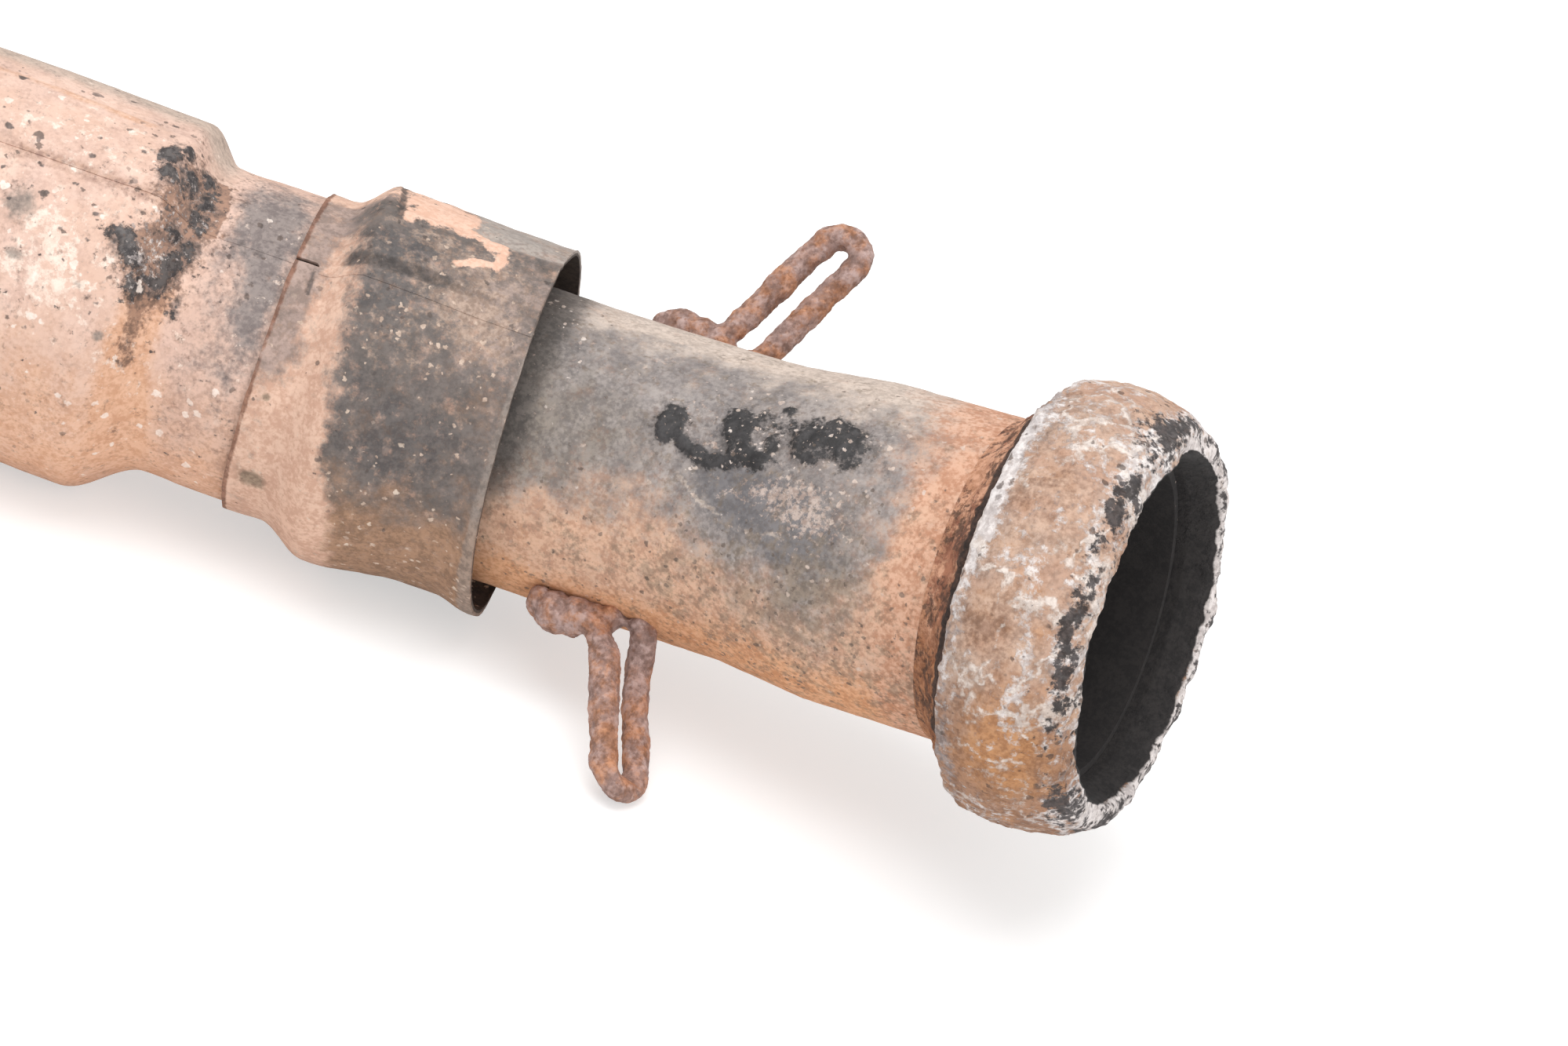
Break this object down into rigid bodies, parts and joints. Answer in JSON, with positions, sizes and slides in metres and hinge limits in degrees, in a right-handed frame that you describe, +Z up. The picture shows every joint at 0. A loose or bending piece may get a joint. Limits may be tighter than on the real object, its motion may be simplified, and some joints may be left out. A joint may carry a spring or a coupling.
{
  "type": "corroded exhaust head pipe",
  "caption": "Rusty bent exhaust head pipe with a doughnut gasket, stop collar, rod spring hooks and clamshell heat shields.",
  "frame": {"origin": "on the tube's axis at its plain rear end", "axes": "+X along the straight run towards the open end, +Z up, -Y to the side the open end bends to"},
  "size_m": [0.4186, 0.0993, 0.0871],
  "materials": {
    "tube_steel": "heat-stained steel with baked-on dust and tar",
    "collar_steel": "rusty steel",
    "gasket_graphite": "crusted graphite and wire mesh",
    "hook_steel": "scaled, rust-eaten rod",
    "rear_shield_steel": "pressed sheet steel under pink-tan dust and tar",
    "front_shield_steel": "pressed sheet steel, dark with dust patches"
  },
  "bodies": {
    "root": {"exhaust_tube": "tube_steel", "stop_collar": "collar_steel", "gasket_ring": "gasket_graphite", "spring_hook_lower": "hook_steel", "spring_hook_upper": "hook_steel", "rear_shield_lower": "rear_shield_steel", "rear_shield_upper": "rear_shield_steel", "front_shield_lower": "front_shield_steel", "front_shield_upper": "front_shield_steel"}
  },
  "joints": []
}
